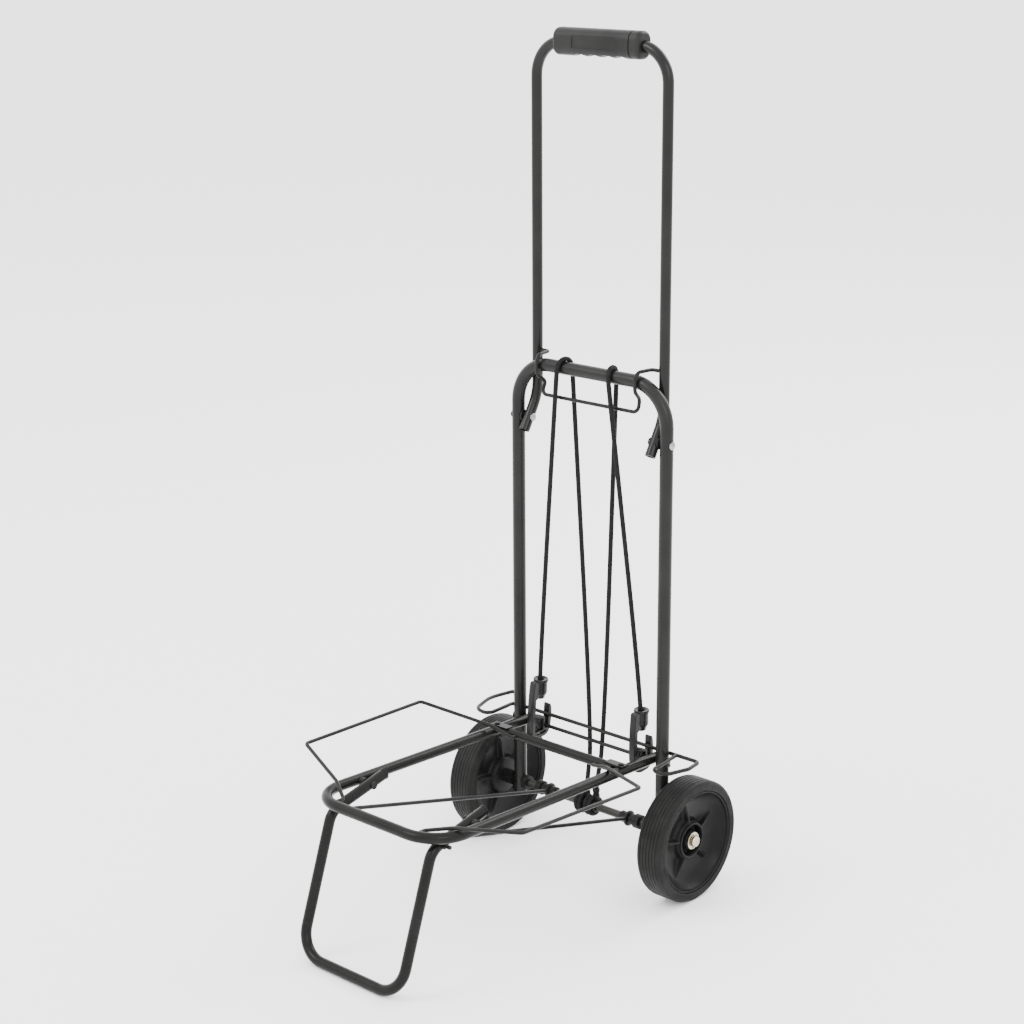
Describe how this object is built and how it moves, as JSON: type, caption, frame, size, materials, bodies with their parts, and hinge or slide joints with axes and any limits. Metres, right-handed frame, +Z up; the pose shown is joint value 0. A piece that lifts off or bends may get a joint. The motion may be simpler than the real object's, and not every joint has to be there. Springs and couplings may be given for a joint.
{
  "type": "folding luggage cart",
  "caption": "Folding two-wheel luggage trolley: steel tube frame, load deck with wire wings, folding leg, swing-down handle and elastic cords.",
  "frame": {"origin": "on the floor, under the middle of the bounding box", "axes": "+Z up, +X along the axle, the load deck points to -Y"},
  "size_m": [0.3529, 0.4964, 1.0167],
  "materials": {
    "frame_paint": "satin black powder coat",
    "deck_paint": "satin black powder coat",
    "leg_paint": "satin black powder coat",
    "handle_paint": "satin black powder coat",
    "wire_paint": "satin black coated wire",
    "axle_steel": "dark zinc-plated steel",
    "bright_zinc": "zinc-plated steel",
    "rivet_steel": "bright steel",
    "hub_plastic": "moulded black plastic",
    "tyre_rubber": "black rubber",
    "grip_plastic": "soft black plastic",
    "trim_plastic": "moulded black plastic",
    "hook_plastic": "moulded black plastic",
    "cord_elastic": "woven elastic cord"
  },
  "bodies": {
    "frame": {"frame_tube": "frame_paint", "frame_caps": "trim_plastic", "axle": "axle_steel", "axle_washers": "bright_zinc", "axle_caps": "bright_zinc", "wheel_spacers": "trim_plastic", "axle_collars": "trim_plastic", "guard_wire": "wire_paint", "guard_cross_wire": "wire_paint", "cord_anchor": "trim_plastic", "cord_left": "cord_elastic", "cord_right": "cord_elastic", "hook_left": "hook_plastic", "hook_right": "hook_plastic", "handle_rivets": "rivet_steel", "handle_washers": "trim_plastic", "deck_rivets": "axle_steel"},
    "wheel_left": {"hub_left": "hub_plastic", "tyre_left": "tyre_rubber"},
    "wheel_right": {"hub_right": "hub_plastic", "tyre_right": "tyre_rubber"},
    "deck": {"deck_tube": "deck_paint", "deck_crossbar": "deck_paint", "crossbar_rivets": "wire_paint", "deck_caps": "trim_plastic", "leg_rivets": "wire_paint", "leg_spacers": "trim_plastic"},
    "leg": {"leg_tube": "leg_paint", "leg_caps": "trim_plastic", "strut_pins": "wire_paint"},
    "struts": {"strut_left": "wire_paint", "strut_right": "wire_paint"},
    "wing_left": {"wing_left": "wire_paint"},
    "wing_right": {"wing_right": "wire_paint"},
    "handle": {"handle_tube": "handle_paint", "grip": "grip_plastic"},
    "bail": {"bail": "wire_paint"}
  },
  "joints": [
    {"name": "wheel_left_spin", "type": "hinge", "parent": "frame", "child": "wheel_left", "pos_m": [-0.152, 0.17317, 0.075], "axis": [1, 0, 0], "continuous": true},
    {"name": "wheel_right_spin", "type": "hinge", "parent": "frame", "child": "wheel_right", "pos_m": [0.152, 0.17317, 0.075], "axis": [1, 0, 0], "continuous": true},
    {"name": "deck_fold", "type": "hinge", "parent": "frame", "child": "deck", "pos_m": [0, 0.17317, 0.1633], "axis": [-1, 0, 0], "range_deg": [0, 69], "deforming": ["hook_left", "hook_right"]},
    {"name": "leg_fold", "type": "hinge", "parent": "deck", "child": "leg", "pos_m": [0, -0.1265, 0.17717], "axis": [1, 0, 0], "range_deg": [0, 104.9]},
    {"name": "strut_fold", "type": "hinge", "parent": "frame", "child": "struts", "pos_m": [0, 0.17317, 0.075], "axis": [-1, 0, 0], "range_deg": [0, 54.6]},
    {"name": "wing_left_fold", "type": "hinge", "parent": "deck", "child": "wing_left", "pos_m": [-0.064, -0.04352, 0.17483], "axis": [0, 0.9989, -0.0462], "range_deg": [0, 154]},
    {"name": "wing_right_fold", "type": "hinge", "parent": "deck", "child": "wing_right", "pos_m": [0.064, -0.04352, 0.17483], "axis": [0, -0.9989, 0.0462], "range_deg": [0, 148]},
    {"name": "handle_fold", "type": "hinge", "parent": "frame", "child": "handle", "pos_m": [0, 0.17317, 0.555], "axis": [-1, 0, 0], "range_deg": [0, 174], "deforming": ["bail"]},
    {"name": "bail_lift", "type": "hinge", "parent": "handle", "child": "bail", "pos_m": [0, 0.18918, 0.6355], "axis": [-1, 0, 0], "range_deg": [0, 100], "deforming": ["cord_left", "cord_right"]}
  ],
  "couplings": [
    {"joint": "leg_fold", "follows": "deck_fold", "ratio": 1.52},
    {"joint": "strut_fold", "follows": "deck_fold", "ratio": 0.79}
  ]
}
